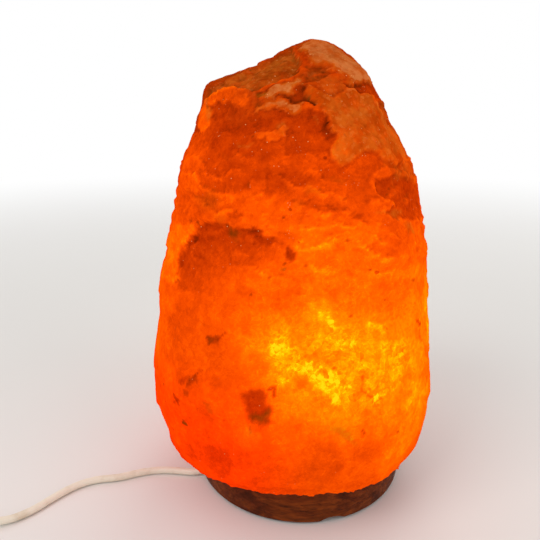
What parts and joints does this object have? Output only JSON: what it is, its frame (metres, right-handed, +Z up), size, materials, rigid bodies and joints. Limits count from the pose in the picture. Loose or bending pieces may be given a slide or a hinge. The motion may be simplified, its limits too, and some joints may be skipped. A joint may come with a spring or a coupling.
{
  "type": "salt crystal lamp",
  "caption": "Rough rock-salt table lamp on a turned wooden base, lit by a small bulb in a bored cavity, with cord, rocker switch and plug.",
  "frame": {"origin": "on the table below the centre of the wooden base", "axes": "+Z up, front of the lamp towards -Y, +X to its right"},
  "size_m": [0.3722, 0.1826, 0.2545],
  "materials": {
    "salt": "rough translucent rock salt",
    "wood": "stained and waxed, satin",
    "felt": "felt",
    "steel": "zinc plated",
    "nylon": "natural nylon",
    "clamp_plastic": "moulded",
    "holder_plastic": "moulded, matt",
    "brass": "bright",
    "spring_steel": "spring strip",
    "core": "insulated core",
    "clear_glass": "clear",
    "cap_metal": "bright",
    "black_glass": "glossy insulator",
    "solder": "dull solder",
    "filament": "glowing wire",
    "cord_pvc": "soft pale PVC",
    "tie": "soft tie",
    "switch_plastic": "moulded, satin",
    "rocker_plastic": "moulded, satin",
    "plug_plastic": "moulded, satin",
    "pin_metal": "nickel plated",
    "sleeve_plastic": "moulded"
  },
  "bodies": {
    "root": {"salt_crystal": "salt", "wooden_base": "wood", "felt_ring": "felt", "rock_screws": "steel", "wall_plugs": "nylon", "cord_clamp": "clamp_plastic", "clamp_screws": "steel", "inner_lead": "cord_pvc", "cord_tube": "cord_pvc", "cord_to_coil": "cord_pvc", "cord_end": "cord_pvc", "cord_coil": "cord_pvc", "coil_tie": "tie", "switch_lower_shell": "switch_plastic", "switch_upper_shell": "switch_plastic", "switch_boots": "cord_pvc", "switch_contacts": "brass", "switch_screws": "steel", "plug_body": "plug_plastic", "plug_pins": "pin_metal", "plug_sleeves": "sleeve_plastic"},
    "holder": {"holder_cap": "holder_plastic", "holder_body": "holder_plastic", "holder_screws": "steel", "holder_sleeve": "brass", "holder_contact": "brass", "holder_terminals": "brass", "lead_cores": "core", "clip_bracket": "spring_steel", "bracket_rivets": "steel"},
    "bulb": {"bulb_glass": "clear_glass", "bulb_cap": "cap_metal", "bulb_insulator": "black_glass", "bulb_contact": "solder", "bulb_stem": "clear_glass", "bulb_supports": "solder", "bulb_filament": "filament"},
    "clip_left": {"clip_left": "spring_steel"},
    "clip_right": {"clip_right": "spring_steel"},
    "rocker": {"switch_rocker": "rocker_plastic"}
  },
  "joints": [
    {"name": "holder_slide", "type": "slide", "parent": "root", "child": "holder", "axis": [0, 0, -1], "range_m": [0, 0.125], "deforming": ["inner_lead"]},
    {"name": "bulb_turn", "type": "hinge", "parent": "holder", "child": "bulb", "pos_m": [0, 0, 0.06], "axis": [0, 0, 1], "range_deg": [0, 1080]},
    {"name": "clip_left_flex", "type": "hinge", "parent": "holder", "child": "clip_left", "pos_m": [-0.0133, 0, 0.0394], "axis": [0, 1, 0], "range_deg": [0, 10], "stiffness_Nm_per_rad": 1.5},
    {"name": "clip_right_flex", "type": "hinge", "parent": "holder", "child": "clip_right", "pos_m": [0.0133, 0, 0.0394], "axis": [0, -1, 0], "range_deg": [0, 10], "stiffness_Nm_per_rad": 1.5},
    {"name": "rocker_tilt", "type": "hinge", "parent": "root", "child": "rocker", "pos_m": [-0.21157, -0.08497, 0.0099], "axis": [0.1564, -0.9877, 0], "range_deg": [0, 20]}
  ]
}
